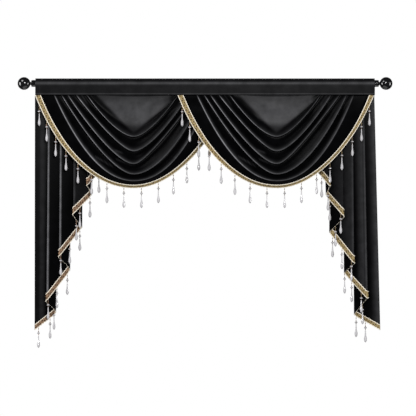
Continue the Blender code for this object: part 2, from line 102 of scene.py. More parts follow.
def gridBody(rows, nap=None, closed=False):
    # A bmesh grid moved onto rows of points, with its UV map in metres and a painted highlight strength at
    # each point.
    rows = np.asarray(rows)
    body = bmesh.new()
    paintedHighlightLayer = body.verts.layers.float.new("nap")
    uvLayer = body.loops.layers.uv.new("cloth")
    bmesh.ops.create_grid(body, x_segments=rows.shape[1] - 1, y_segments=rows.shape[0] - 1,
                          size=1.0, calc_uvs=True)
    nap = np.zeros(rows.shape[:2]) if nap is None else nap
    for vertex, point, gloss in zip(body.verts, rows.reshape(-1, 3), nap.ravel()):
        vertex.co = point
        vertex[paintedHighlightLayer] = gloss
    across = np.linalg.norm(np.diff(rows, axis=1), axis=2).sum(axis=1).max()
    down = np.linalg.norm(np.diff(rows, axis=0), axis=2).sum(axis=0).max()
    for face in body.faces:
        for loop in face.loops:
            u, v = loop[uvLayer].uv
            loop[uvLayer].uv = (u * across, v * down)
    if closed:
        bmesh.ops.remove_doubles(body, verts=body.verts, dist=1e-6)
        bmesh.ops.recalc_face_normals(body, faces=body.faces)
    return body


def makePiece(name, body, materials, replaced=(), smooth=True):
    mesh = bpy.data.meshes.new(name)
    body.to_mesh(mesh)
    body.free()
    for material in materials:
        mesh.materials.append(material)
    if smooth:
        mesh.shade_smooth()
    piece = bpy.data.objects.new(name, mesh)
    scene.collection.objects.link(piece)
    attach(piece, "root")
    if replaced:
        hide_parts(*replaced)
    return piece


def thicken(piece, thickness, offset=0.0):
    solid = piece.modifiers.new("thickness", "SOLIDIFY")
    solid.thickness = thickness
    solid.offset = offset
    solid.use_even_offset = True
    solid.use_quality_normals = True


def makeNode(tree, kind, inputs=None, **options):
    node = tree.nodes.new(kind)
    for name, value in options.items():
        setattr(node, name, value)
    for key, value in (inputs or {}).items():
        if isinstance(value, bpy.types.NodeSocket):
            tree.links.new(value, node.inputs[key])
        else:
            node.inputs[key].default_value = value
    return node


def mixColour(tree, share, first, second):
    mix = makeNode(tree, "ShaderNodeMix", data_type="RGBA")
    for socket, value in zip((mix.inputs[0], mix.inputs[6], mix.inputs[7]), (share, first, second)):
        if isinstance(value, bpy.types.NodeSocket):
            tree.links.new(value, socket)
        else:
            socket.default_value = value
    return mix.outputs[2]


def mapRange(tree, value, low, high, newLow, newHigh):
    node = makeNode(tree, "ShaderNodeMapRange", {"Value": value, "From Min": low, "From Max": high,
                                                 "To Min": newLow, "To Max": newHigh})
    return node.outputs["Result"]


def startGroup(name, inputs, outputs):
    group = bpy.data.node_groups.new(name, "ShaderNodeTree")
    for label, kind, value in inputs:
        socket = group.interface.new_socket(name=label, in_out="INPUT", socket_type=kind)
        if value is not None:
            socket.default_value = value
    for label, kind in outputs:
        group.interface.new_socket(name=label, in_out="OUTPUT", socket_type=kind)
    return group, group.nodes.new("NodeGroupInput").outputs, group.nodes.new("NodeGroupOutput").inputs


def buildPileGroup():
    # The short pile of velvet: fine tufts for the bump, and broad patches where it lies another way.
    group, given, result = startGroup(
        "pile",
        [("Vector", "NodeSocketVector", None), ("Tufts", "NodeSocketFloat", 900.0),
         ("Patches", "NodeSocketFloat", 26.0)],
        [("Height", "NodeSocketFloat"), ("Lie", "NodeSocketFloat")])
    tufts = makeNode(group, "ShaderNodeTexNoise", {"Vector": given["Vector"], "Scale": given["Tufts"],
                                                   "Detail": 2.0, "Roughness": 0.6})
    patches = makeNode(group, "ShaderNodeTexNoise", {"Vector": given["Vector"],
                                                     "Scale": given["Patches"], "Detail": 3.0})
    group.links.new(tufts.outputs["Fac"], result["Height"])
    group.links.new(mapRange(group, patches.outputs["Fac"], 0.3, 0.7, 0.0, 1.0), result["Lie"])
    return group


def buildFibreGroup():
    # Spun thread: fine fibres for the bump and a light and dark mottle for the colour.
    group, given, result = startGroup(
        "fibre",
        [("Vector", "NodeSocketVector", None), ("Fineness", "NodeSocketFloat", 1400.0)],
        [("Height", "NodeSocketFloat"), ("Mottle", "NodeSocketFloat")])
    fibres = makeNode(group, "ShaderNodeTexNoise", {"Vector": given["Vector"],
                                                    "Scale": given["Fineness"], "Detail": 1.0})
    mottle = makeNode(group, "ShaderNodeTexNoise", {"Vector": given["Vector"], "Scale": 160.0,
                                                    "Detail": 3.0})
    group.links.new(fibres.outputs["Fac"], result["Height"])
    group.links.new(mapRange(group, mottle.outputs["Fac"], 0.35, 0.65, 0.0, 1.0), result["Mottle"])
    return group


def startMaterial(name):
    material = bpy.data.materials.new(name)
    material.use_nodes = True
    tree = material.node_tree
    return material, tree, tree.nodes["Principled BSDF"]


def setShader(shader, **values):
    for name, value in values.items():
        shader.inputs[name.replace("_", " ")].default_value = value


velvet = {
    "dark": (0.0009, 0.0009, 0.0011, 1.0), "light": (0.0020, 0.0020, 0.0024, 1.0),
    # crest is the light grey of the painted highlight on folds, creases and the header.
    "crest": (0.350, 0.350, 0.370, 1.0),
    "smooth": 0.30, "rough": 0.34, "specular": 0.03,
    "bump": 0.2, "bumpDepth": 0.00006,
    # How much the lie of the pile dims or lifts the painted highlight on the crests.
    "dim": 0.75, "lift": 1.2,
}
headerCloth = dict(velvet, dark=(0.0050, 0.0050, 0.0056, 1.0), light=(0.0085, 0.0085, 0.0092, 1.0),
                   smooth=0.36, rough=0.42, specular=0.05)
# Each thread's dark and light colour, how rough it is and how metallic.
threadLooks = {
    "gold thread": ((0.28, 0.20, 0.075, 1.0), (0.50, 0.39, 0.18, 1.0), 0.45, 0.20),
    # A shaded copy of the gold thread for the left tail's braid: painted shade.
    "shaded gold thread": ((0.20, 0.11, 0.06, 1.0), (0.42, 0.27, 0.16, 1.0), 0.42, 0.25),
    "ivory thread": ((0.80, 0.71, 0.56, 1.0), (0.95, 0.90, 0.79, 1.0), 0.55, 0.0),
    "brown thread": ((0.04, 0.020, 0.010, 1.0), (0.11, 0.058, 0.026, 1.0), 0.6, 0.0),
}
threadBump = {"strength": 0.5, "depth": 0.0003}
gloss = {
    "dark": (0.003, 0.003, 0.0035, 1.0), "light": (0.010, 0.010, 0.011, 1.0),
    "smooth": 0.10, "rough": 0.22, "coat": 0.6, "coatRoughness": 0.05,
}
acrylic = {
    # edge is the colour of the painted shade at the drops' edges.
    "dark": (0.60, 0.59, 0.61, 1.0), "light": (0.74, 0.73, 0.75, 1.0), "edge": (0.10, 0.09, 0.10, 1.0),
    "edgeBlend": 0.58, "roughness": 0.12, "ior": 1.50, "transmission": 0.10,
}
bronze = {
    "dark": (0.17, 0.11, 0.09, 1.0), "light": (0.44, 0.32, 0.27, 1.0), "roughness": 0.22, "metallic": 0.85,
}


def velvetMaterial(name, cloth, pile):
    material, tree, shader = startMaterial(name)
    place = makeNode(tree, "ShaderNodeTexCoord").outputs["Object"]
    tufts = makeNode(tree, "ShaderNodeGroup", node_tree=pile)
    tree.links.new(place, tufts.inputs["Vector"])
    lie = tufts.outputs["Lie"]
    colour = mixColour(tree, lie, cloth["dark"], cloth["light"])
    # The vertex attribute read here is a painted highlight: it mixes the base colour toward the crest grey.
    shine = makeNode(tree, "ShaderNodeAttribute", attribute_name="nap").outputs["Fac"]
    patchy = mapRange(tree, lie, 0.0, 1.0, cloth["dim"], cloth["lift"])
    nap = makeNode(tree, "ShaderNodeMath", {0: shine, 1: patchy}, operation="MULTIPLY").outputs["Value"]
    tree.links.new(mixColour(tree, nap, colour, cloth["crest"]), shader.inputs["Base Color"])
    tree.links.new(mapRange(tree, lie, 0.0, 1.0, cloth["rough"], cloth["smooth"]),
                   shader.inputs["Roughness"])
    bump = makeNode(tree, "ShaderNodeBump", {"Height": tufts.outputs["Height"],
                                             "Strength": cloth["bump"], "Distance": cloth["bumpDepth"]})
    tree.links.new(bump.outputs["Normal"], shader.inputs["Normal"])
    setShader(shader, Specular_IOR_Level=cloth["specular"])
    return material


def threadMaterial(name, dark, light, roughness, metallic, fibre):
    material, tree, shader = startMaterial(name)
    place = makeNode(tree, "ShaderNodeTexCoord").outputs["Object"]
    spun = makeNode(tree, "ShaderNodeGroup", node_tree=fibre)
    tree.links.new(place, spun.inputs["Vector"])
    tree.links.new(mixColour(tree, spun.outputs["Mottle"], dark, light), shader.inputs["Base Color"])
    bump = makeNode(tree, "ShaderNodeBump", {"Height": spun.outputs["Height"],
                                             "Strength": threadBump["strength"],
                                             "Distance": threadBump["depth"]})
    tree.links.new(bump.outputs["Normal"], shader.inputs["Normal"])
    setShader(shader, Roughness=roughness, Metallic=metallic)
    return material


def glossMaterial():
    material, tree, shader = startMaterial("gloss black")
    place = makeNode(tree, "ShaderNodeTexCoord").outputs["Object"]
    dust = makeNode(tree, "ShaderNodeTexNoise", {"Vector": place, "Scale": 220.0, "Detail": 4.0})
    smear = makeNode(tree, "ShaderNodeTexNoise", {"Vector": place, "Scale": 35.0, "Detail": 2.0})
    tree.links.new(mixColour(tree, dust.outputs["Fac"], gloss["dark"], gloss["light"]),
                   shader.inputs["Base Color"])
    tree.links.new(mapRange(tree, smear.outputs["Fac"], 0.3, 0.7, gloss["smooth"], gloss["rough"]),
                   shader.inputs["Roughness"])
    setShader(shader, Coat_Weight=gloss["coat"], Coat_Roughness=gloss["coatRoughness"])
    return material


def crystalMaterial():
    # Milky acrylic, with painted shade that darkens it towards its edges, where it turns away from the
    # view.
    material, tree, shader = startMaterial("crystal")
    place = makeNode(tree, "ShaderNodeTexCoord").outputs["Object"]
    haze = makeNode(tree, "ShaderNodeTexNoise", {"Vector": place, "Scale": 260.0, "Detail": 2.0})
    milky = mixColour(tree, haze.outputs["Fac"], acrylic["dark"], acrylic["light"])
    edge = makeNode(tree, "ShaderNodeLayerWeight", {"Blend": acrylic["edgeBlend"]}).outputs["Facing"]
    tree.links.new(mixColour(tree, edge, milky, acrylic["edge"]), shader.inputs["Base Color"])
    setShader(shader, Roughness=acrylic["roughness"], IOR=acrylic["ior"],
              Transmission_Weight=acrylic["transmission"])
    return material


def beadMaterial():
    material, tree, shader = startMaterial("bronze bead")
    place = makeNode(tree, "ShaderNodeTexCoord").outputs["Object"]
    tone = makeNode(tree, "ShaderNodeTexNoise", {"Vector": place, "Scale": 90.0, "Detail": 2.0})
    tree.links.new(mixColour(tree, tone.outputs["Fac"], bronze["dark"], bronze["light"]),
                   shader.inputs["Base Color"])
    setShader(shader, Roughness=bronze["roughness"], Metallic=bronze["metallic"])
    return material


pile = buildPileGroup()
fibre = buildFibreGroup()
velvetCloth = velvetMaterial("black velvet", velvet, pile)
pressedCloth = velvetMaterial("pressed velvet", headerCloth, pile)
goldThread, shadedGoldThread, ivoryThread, brownThread = (
    threadMaterial(name, *look, fibre) for name, look in threadLooks.items())
glossBlack = glossMaterial()
crystal = crystalMaterial()
bronzeBead = beadMaterial()
braidMaterials = (goldThread, ivoryThread, brownThread)
gold, ivory, brown = range(3)
print("Materials made:", len(bpy.data.materials))


# Sizes that every cloth piece shares.
cloth = {"thickness": 0.0015, "sewnGap": 0.0005, "headerBottom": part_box("header")[0].z, "seamGap": 0.0007}
seamZ = cloth["headerBottom"] - cloth["seamGap"]


FoldLine = namedtuple("FoldLine", "name left right drop leftPower rightPower leftBow rightBow")
FoldStep = namedtuple("FoldStep", "name leftAlong rightAlong tuck wave leftNap rightNap")
TopStep = namedtuple("TopStep", "drop wave")
SwagPlace = namedtuple("SwagPlace", "name middle leftY rightY leftLift rightLift dropStart")
Crease = namedtuple("Crease", "startX startDrop endX endDrop width height shine")

swag = {
    "lines": (
        FoldLine("seam", 0.170, 0.190, 0.0000, 1.60, 1.41, 0.000, 0.0000),
        FoldLine("fold 1", 0.221, 0.208, 0.1962, 1.58, 1.55, 0.000, 0.0000),
        FoldLine("fold 2", 0.272, 0.258, 0.2648, 1.28, 1.48, 0.000, 0.0000),
        FoldLine("fold 3", 0.312, 0.298, 0.3248, 1.40, 1.18, 0.000, 0.0000),
        FoldLine("fold 4", 0.341, 0.331, 0.3735, 1.48, 1.83, 0.000, 0.0000),
        FoldLine("fold 5", 0.375, 0.363, 0.4054, 2.04, 2.21, 0.000, 0.0000),
        FoldLine("braid", 0.440, 0.436, 0.4222, 2.16, 2.04, 0.009, 0.0110),
        FoldLine("hem", 0.466, 0.459, 0.4363, 2.18, 2.05, 0.012, 0.0085),
    ),
    # One fold from its crest down to the next: how far along, and how strong its painted highlight is, at
    # the swag's left and right side.
    "foldSteps": (
        FoldStep("crest", 0.00, 0.00, 0.0, 1.00, 1.00, 1.00),
        FoldStep("nose", 0.03, 0.03, 0.1, 0.55, 0.45, 0.45),
        FoldStep("under", 0.08, 0.08, 0.9, -0.15, 0.00, 0.00),
        FoldStep("valley", 0.15, 0.15, 0.2, -1.00, 0.00, 0.00),
        FoldStep("face", 0.54, 0.50, 0.0, -0.25, 0.00, 0.00),
        FoldStep("brow", 0.90, 0.86, 0.0, 0.95, 0.40, 0.62),
    ),
    "topSteps": (TopStep(0.0, 0.0), TopStep(0.050, -0.2), TopStep(0.105, -0.5), TopStep(0.155, -0.4)),
    "places": (
        SwagPlace("swag_left", -0.3350, -0.0090, 0.0005, 0.0, -0.010, 0.053),
        SwagPlace("swag_right", 0.3370, -0.0100, -0.0095, 0.022, 0.004, 0.060),
    ),
    # Wrinkles across a face, from one end to the other: x from the swag's middle, drop from the seam; shine
    # is the painted highlight along each.
    "creases": (
        Crease(-0.245, 0.000, -0.208, 0.058, 0.0035, 0.0012, 0.020),
        Crease(-0.180, 0.292, -0.096, 0.340, 0.0028, 0.0009, 0.060),
        Crease(-0.088, 0.262, -0.050, 0.276, 0.0028, 0.0008, 0.060),
        Crease(-0.082, 0.304, 0.004, 0.334, 0.0028, 0.0008, 0.050),
        Crease(0.236, 0.000, 0.205, 0.052, 0.0035, 0.0010, 0.020),
    ),
    "lastSteps": (
        FoldStep("crest", 0.00, 0.00, 0.0, 1.00, 1.00, 1.00),
        FoldStep("nose", 0.08, 0.08, 0.0, 0.90, 0.10, 0.10),
    ),
    # How strong the painted highlight on the crests is, from the swag's left end to its right end.
    "paintedHighlightSides": (-1.0, -0.6, -0.3, 0.0, 0.3, 0.6, 1.0),
    "paintedHighlightShares": (0.80, 0.80, 0.55, 0.22, 0.20, 0.20, 0.20),
    "paintedHighlightPower": 3.0, "paintedHighlightFrom": -0.004, "paintedHighlightSpan": 0.030,
    # Half widths of the painted lit triangle at a drop, how fast they narrow, and its painted brightness by
    # drop.
    "flatTop": {
        "left": 0.107, "leftFrom": 0.071, "leftSlope": 0.97,
        "right": 0.168, "rightFrom": 0.032, "rightSlope": 1.15, "soft": 0.024,
        "drops": (0.000, 0.020, 0.055, 0.125, 0.150, 0.185),
        "shine": (0.05, 0.065, 0.125, 0.135, 0.06, 0.01),
    },
    "bowPower": 2.4, "columns": 132, "rowSteps": 5,
    "lineRounding": 0.10, "waveAtSeam": 0.0025, "waveBelow": 0.0105, "waveGrowth": 0.110,
    "tuckDepth": 0.0075, "tuckTravel": 0.40, "bulge": 0.115, "braidWave": -0.40,
    "liftGrowth": 0.080, "liftFrom": 0.090, "liftSpan": 0.130,
    "dropPitch": 0.0825, "dropCount": 16,
    "flatSize": (1.33, 0.60), "flatArea": 0.372,
}


def roundedPower(value, power):
    return (value * value + swag["lineRounding"] ** 2) ** (power / 2)


def hangShare(side, power):
    lowest = roundedPower(0.0, power)
    return (roundedPower(side, power) - lowest) / (roundedPower(1.0, power) - lowest)


def lineAt(drop):
    lines = swag["lines"]
    for above, below in zip(lines, lines[1:]):
        if drop <= below.drop or below is lines[-1]:
            share = (drop - above.drop) / (below.drop - above.drop)
            return FoldLine("between", *(blend(a, b, share) for a, b in zip(above[1:], below[1:])))


def swagPoint(place, side, drop, wave):
    line = lineAt(drop)
    half, power, bow = ((-line.left, line.leftPower, -line.leftBow) if side < 0
                        else (line.right, line.rightPower, line.rightBow))
    out = abs(side) * half + bow * math.sin(math.pi * abs(side) ** swag["bowPower"])
    below = drop * (1.0 - hangShare(side, power))
    height = blend(swag["waveAtSeam"], swag["waveBelow"], smoothStep(below / swag["waveGrowth"]))
    lift = place.leftLift if side < 0 else place.rightLift
    lift *= smoothStep(below / swag["liftGrowth"])
    lift *= smoothStep((abs(out) - swag["liftFrom"]) / swag["liftSpan"])
    seamY = blend(place.leftY, place.rightY, smoothStep((side + 1) / 2))
    return (place.middle + out, seamY - swag["bulge"] * below - lift - height * wave,
            seamZ - below)


def foldDrop(side, line, following, step):
    power = line.leftPower if side < 0 else line.rightPower
    below = line.drop * (1.0 - hangShare(side, power))
    along = blend(step.leftAlong, step.rightAlong, smoothStep((side + 1) / 2))
    way = along * (following.drop - line.drop)
    if not step.tuck:
        return line.drop + way
    tucked = way * swag["tuckTravel"] - step.tuck * swag["tuckDepth"]
    return line.drop + blend(way, tucked, smoothStep(below / swag["waveGrowth"]))


def hemPoint(place, side, above, hem):
    below = swagPoint(place, side, hem.drop, 0.0)
    seen = math.hypot(below[0] - above[0], below[2] - above[2])
    back = math.sqrt(max(braid["width"] ** 2 - seen ** 2, 0.0))
    return below[0], above[1] + back, below[2]


def swagRows(place):
    sides = []
    for column in range(swag["columns"] + 1):
        even = 2 * column / swag["columns"] - 1
        sides.append(0.5 * even + 0.5 * math.sin(even * math.pi / 2))
    rows = [[swagPoint(place, side, step.drop, step.wave) for side in sides]
            for step in swag["topSteps"]]
    paintedHighlights = [(0.0, 0.0)] * len(rows)
    brow = swag["foldSteps"][-1]
    folds = swag["lines"][1:-1]
    top = FoldLine("top step", *swag["lines"][0][1:3], swag["topSteps"][-1].drop, *swag["lines"][0][4:])
    rows.append([swagPoint(place, side, foldDrop(side, top, folds[0], brow), brow.wave)
                 for side in sides])
    paintedHighlights.append((brow.leftNap, brow.rightNap))
    for line, following in zip(folds, folds[1:]):
        steps = swag["foldSteps"] if following is not folds[-1] else swag["lastSteps"]
        for step in steps:
            rows.append([swagPoint(place, side, foldDrop(side, line, following, step), step.wave)
                         for side in sides])
            paintedHighlights.append((step.leftNap, step.rightNap))
    braidLine, hemLine = swag["lines"][-2:]
    rows.append([swagPoint(place, side, braidLine.drop, swag["braidWave"]) for side in sides])
    paintedHighlights.append((0.0, 0.0))
    rows = smoothCurve(rows, swag["rowSteps"])
    hem = [hemPoint(place, side, above, hemLine) for side, above in zip(sides, rows[-1])]
    # Painted highlight: strongest on the crests and brows, and on the swag's left side.
    leftNap, rightNap = (spread(values, swag["rowSteps"])[:, None] for values in zip(*paintedHighlights))
    nap = blend(leftNap, rightNap, smoothStep((np.array(sides) + 1) / 2)) ** swag["paintedHighlightPower"]
    nap *= np.interp(sides, swag["paintedHighlightSides"], swag["paintedHighlightShares"])
    below = seamZ - rows[:, :, 2]
    nap *= smoothStep((below - swag["paintedHighlightFrom"]) / swag["paintedHighlightSpan"])
    nap += paintedTriangleHighlight(rows[:, :, 0] - place.middle, below)
    return rows, np.array(hem), nap


def paintedTriangleHighlight(x, below):
    # A painted highlight in a triangle on the smooth cloth between the seam and the first fold.
    flat = swag["flatTop"]
    left = flat["left"] - (below - flat["leftFrom"]) * flat["leftSlope"]
    right = flat["right"] - np.maximum(below - flat["rightFrom"], 0.0) * flat["rightSlope"]
    inside = smoothStep((np.where(x < 0, left, right) - abs(x)) / flat["soft"] + 0.5)
    return inside * np.interp(below, flat["drops"], flat["shine"])


def addCreases(rows, nap, place):
    # Presses soft ridges into the cloth, forward where the height is positive, and paints a highlight along
    # each ridge.
    for crease in swag["creases"]:
        start = np.array([place.middle + crease.startX, seamZ - crease.startDrop])
        way = np.array([crease.endX - crease.startX, crease.startDrop - crease.endDrop])
        seen = rows[:, :, [0, 2]] - start
        along = (seen @ way) / (way @ way)
        away = np.linalg.norm(seen - np.clip(along, 0, 1)[..., None] * way, axis=2)
        fade = smoothStep(along * 3 + 0.6) * smoothStep((1 - along) * 2 + 0.2)
        ridge = fade * np.exp(-(away / crease.width) ** 2)
        rows[:, :, 1] -= crease.height * ridge
        nap += crease.shine * ridge


def buildSwag(place):
    rows, hem, nap = swagRows(place)
    addCreases(rows, nap, place)
    rowsDown = np.concatenate([rows, blend(rows[-1], hem, 0.5)[None], hem[None]])
    body = gridBody(rowsDown, np.pad(nap, ((0, 2), (0, 0))))
    piece = makePiece("draped_" + place.name, body, [velvetCloth], [place.name])
    thicken(piece, cloth["thickness"])
    places = [(place.dropStart + swag["dropPitch"] * k, 0.0) for k in range(swag["dropCount"])]
    trims = buildBraid(place.name, rows[-1], hem, places)


TailFold = namedtuple("TailFold", "name topX hemX hemDrop turn braid")
TailStack = namedtuple("TailStack", "frontY lean loop ripple")
TailDrop = namedtuple("TailDrop", "layer along forward", defaults=(0.0,))

tail = {
    "leftFolds": (
        TailFold("inner edge", 0.492, 0.4810, 0.3400, 0.0000, 0.0360),
        TailFold("face 1 outer", 0.552, 0.5570, 0.4240, 0.0080, 0.0360),
        TailFold("return 1 inner", 0.527, 0.5340, 0.4510, 0.0269, 0.0330),
        TailFold("face 2 outer", 0.618, 0.6215, 0.5571, 0.0157, 0.0330),
        TailFold("return 2 inner", 0.577, 0.5810, 0.6128, 0.0205, 0.0340),
        TailFold("face 3 outer", 0.682, 0.6885, 0.7571, 0.0137, 0.0340),
        TailFold("return 3 inner", 0.634, 0.6380, 0.8104, 0.0254, 0.0350),
        TailFold("face 4 outer", 0.739, 0.7480, 0.9665, 0.0146, 0.0350),
        TailFold("return 4 inner", 0.694, 0.7045, 1.0113, 0.0232, 0.0280),
        TailFold("outer edge", 0.8025, 0.8035, 1.1085, 0.0000, 0.0265),
    ),
    "rightFolds": (
        TailFold("inner edge", 0.500, 0.4950, 0.3190, 0.0000, 0.0360),
        TailFold("face 1 outer", 0.580, 0.5895, 0.4270, 0.0050, 0.0360),
        TailFold("return 1 inner", 0.558, 0.5705, 0.4524, 0.0297, 0.0345),
        TailFold("face 2 outer", 0.648, 0.6525, 0.5660, 0.0160, 0.0345),
        TailFold("return 2 inner", 0.591, 0.5876, 0.6396, 0.0149, 0.0370),
        TailFold("face 3 outer", 0.696, 0.7030, 0.7906, 0.0085, 0.0370),
        TailFold("return 3 inner", 0.648, 0.6570, 0.8307, 0.0173, 0.0345),
        TailFold("face 4 outer", 0.749, 0.7675, 0.9580, 0.0020, 0.0345),
        TailFold("return 4 inner", 0.697, 0.7045, 1.0255, 0.0175, 0.0255),
        TailFold("outer edge", 0.7985, 0.8260, 1.1080, 0.0000, 0.0250),
    ),
    "leftDrops": (
        TailDrop("face 1", 0.29), TailDrop("face 2", 0.03), TailDrop("face 2", 0.65),
        TailDrop("return 2", 0.39), TailDrop("face 3", 0.03), TailDrop("face 3", 0.53),
        TailDrop("face 3", 0.96), TailDrop("face 4", 0.07), TailDrop("face 4", 0.55),
        TailDrop("face 4", 0.96), TailDrop("return 4", 0.95, 0.0083), TailDrop("face 5", 0.24),
        TailDrop("face 5", 0.81),
    ),
    "rightDrops": (
        TailDrop("face 1", 0.62), TailDrop("return 1", 0.75, 0.0083), TailDrop("face 2", 0.17),
        TailDrop("face 2", 0.88), TailDrop("return 2", 0.60, 0.003), TailDrop("face 3", 0.10),
        TailDrop("face 3", 0.51), TailDrop("face 3", 0.92), TailDrop("back fold 3", 0.50),
        TailDrop("face 4", 0.29), TailDrop("face 4", 0.74), TailDrop("return 4", 0.38, -0.0008),
        TailDrop("face 5", 0.03), TailDrop("face 5", 0.41),
    ),
    "atHeader": TailStack(0.0030, 0.094, 0.0024, 0.0000),
    "atHem": TailStack(-0.0040, 0.350, 0.0078, 0.0012),
    "levels": 44, "stationSteps": 4,
    # The painted highlight along the pleats: face number, place across the face (1.1 is its outer fold),
    # brightness.
    "leftShine": (
        (1, 0.00, 0.020), (1, 0.94, 0.020), (1, 1.10, 0.000),
        (2, 0.30, 0.015), (2, 0.90, 0.015), (2, 0.97, 0.080), (2, 1.00, 0.080), (2, 1.10, 0.000),
        (3, 0.92, 0.000), (3, 0.95, 0.160), (3, 0.98, 0.400), (3, 1.00, 0.300), (3, 1.10, 0.000),
        (4, 0.92, 0.000), (4, 0.95, 0.160), (4, 0.98, 0.420), (4, 1.00, 0.320), (4, 1.10, 0.000),
        (5, 0.48, 0.000), (5, 0.57, 0.035), (5, 0.70, 0.045), (5, 0.78, 0.012), (5, 0.90, 0.008),
        (5, 1.00, 0.000),
    ),
    "rightShine": (
        (1, 0.00, 0.018), (1, 0.94, 0.018), (1, 1.10, 0.000),
        (2, 0.30, 0.006), (2, 0.60, 0.024), (2, 0.97, 0.034), (2, 1.10, 0.000),
        (3, 0.38, 0.000), (3, 0.60, 0.020), (3, 0.78, 0.036), (3, 0.92, 0.042), (3, 0.97, 0.090),
        (3, 1.00, 0.080), (3, 1.10, 0.000),
        (4, 0.50, 0.000), (4, 0.60, 0.015), (4, 0.70, 0.045), (4, 0.85, 0.070), (4, 0.93, 0.040),
        (4, 0.97, 0.130), (4, 1.00, 0.100), (4, 1.10, 0.000),
        (5, 0.50, 0.000), (5, 0.65, 0.005), (5, 0.80, 0.040), (5, 0.93, 0.090), (5, 0.98, 0.090),
        (5, 1.00, 0.000),
    ),
    "faceDropForward": 0.0033, "backDropForward": 0.0022,
    "flatSize": (0.78, 1.10), "flatArea": 0.515,
}


def stackAt(level):
    return TailStack(*(blend(a, b, level) for a, b in zip(tail["atHeader"], tail["atHem"])))


def tailStations(folds):
    # The tail's way across, as (layer, along, first fold, second fold).
    stations = []
    for k, (start, end) in enumerate(zip(folds, folds[1:])):
        number = k // 2 + 1
        if k % 2 == 0:
            shares = (0.0, 0.3, 0.6, 0.85, 0.94, 1.0) if k else (0.0, 0.4, 0.8, 0.94, 1.0)
            stations += [("face %d" % number, share, start, end) for share in shares]
            if end is not folds[-1]:
                stations.append(("front fold %d" % number, 0.5, end, end))
        else:
            stations += [("return %d" % number, share, start, end) for share in (0.0, 1.0)]
            stations.append(("back fold %d" % number, 0.5, end, end))
    return stations


def foldX(fold, level):
    return blend(fold.topX, fold.hemX, level)


def backTurn(folds, number, level):
    stack = stackAt(level)
    outer, following = folds[2 * number - 1], folds[2 * number + 1]
    return (stack.lean * (foldX(following, level) - foldX(outer, level)) - stack.loop) / 2


def faceY(stack, fold, level, x):
    return stack.frontY + stack.lean * (foldX(fold, level) - stack.loop / 2 - x)


def tailPoint(folds, station, level):
    # x is measured outward and y back, for a tail that has not yet been put on its side.
    layer, along, start, end = station
    stack = stackAt(level)
    turn = stack.loop / 2
    kind, number = layer.rsplit(" ", 1)
    number = int(number)
    outer = folds[2 * number - 1]
    if kind == "front fold":
        return foldX(end, level), stack.frontY + turn
    if kind == "return":
        innerX = foldX(end, level) + backTurn(folds, number, level)
        x = blend(foldX(start, level) - turn, innerX, along)
        return x, faceY(stack, outer, level, x) + stack.loop
    if kind == "back fold":
        x = foldX(end, level) + backTurn(folds, number, level)
        returnY = faceY(stack, outer, level, x) + stack.loop
        return foldX(end, level), (returnY + faceY(stack, folds[2 * number + 1], level, x)) / 2
    isFirst, isLast = start is folds[0], end is folds[-1]
    firstX = foldX(start, level) + (0.0 if isFirst else backTurn(folds, number - 1, level))
    lastX = foldX(end, level) - (0.0 if isLast else turn)
    x = blend(firstX, lastX, along)
    ripple = 0.0 if isFirst else stack.ripple * math.sin(along * 2 * math.pi)
    return x, faceY(stack, end, level, x) + ripple


def stationDrop(along, start, end):
    if start is end:
        return start.hemDrop + start.turn / 2
    return blend(start.hemDrop + start.turn, end.hemDrop, along)


def tailRows(folds, side):
    stations = tailStations(folds)
    drops = [stationDrop(along, start, end) for _, along, start, end in stations]
    heights = [blend(start.braid, end.braid, along) for _, along, start, end in stations]
    rows = []
    for k in range(tail["levels"] + 1):
        level = k / tail["levels"]
        row = []
        for station, drop, height in zip(stations, drops, heights):
            x, y = tailPoint(folds, station, level * (1 - height / drop))
            row.append((side * x, y, seamZ - level * (drop - height)))
        rows.append(row)
    hem = [tailPoint(folds, station, 1.0) for station in stations]
    rows.append([(side * x, y, seamZ - drop) for (x, y), drop in zip(hem, drops)])
    rows = np.array(rows)
    if side < 0:
        stations, rows = stations[::-1], rows[:, ::-1]
    return stations, rows, smoothCurve(rows.transpose(1, 0, 2), tail["stationSteps"]).transpose(1, 0, 2)


def tailDropPlaces(stations, hemLine, drops):
    # The bead drops' places as lengths along the hem, each with how far forward it hangs.
    lengths = lineLengths(hemLine)[::tail["stationSteps"]]
    places = []
    for drop in drops:
        marks = sorted((station[1], length) for station, length in zip(stations, lengths)
                       if station[0] == drop.layer)
        shares, found = zip(*marks)
        forward = tail["faceDropForward" if drop.layer.startswith("face") else "backDropForward"]
        places.append((float(np.interp(drop.along, shares, found)), forward + drop.forward))
    return places


def lineLengths(points):
    steps = np.linalg.norm(np.diff(points, axis=0), axis=1)
    return np.concatenate([[0.0], np.cumsum(steps)])


def shinePlace(layer, along):
    # A number that grows outward: 10 for each face, and up to 1.1 more at the face's outer fold.
    kind, number = layer.rsplit(" ", 1)
    start, width = {"face": (0.0, 1.0), "front fold": (1.1, 0.0), "return": (1.2, 0.8),
                    "back fold": (3.0, 0.0)}[kind]
    return 10.0 * int(number) + start + width * along


def buildTail(name, folds, side, drops, shine):
    stations, _, rows = tailRows(folds, side)
    braidTop, hem = rows[-2], rows[-1]
    rowsDown = np.concatenate([rows[:-1], blend(braidTop, hem, 0.5)[None], hem[None]])
    places = spread([shinePlace(layer, along) for layer, along, _, _ in stations], tail["stationSteps"])
    # The painted highlight across the pleats, the same at every height.
    nap = np.interp(places, [10.0 * face + along for face, along, _ in shine], [row[2] for row in shine])
    nap = np.tile(nap, (len(rowsDown), 1))
    piece = makePiece("pleated_" + name, gridBody(rowsDown, nap), [velvetCloth], [name])
    thicken(piece, cloth["thickness"])
    trims = buildBraid(name, braidTop, hem, tailDropPlaces(stations, hem, drops))


Strand = namedtuple("Strand", "finish rest swing weave radius kind")

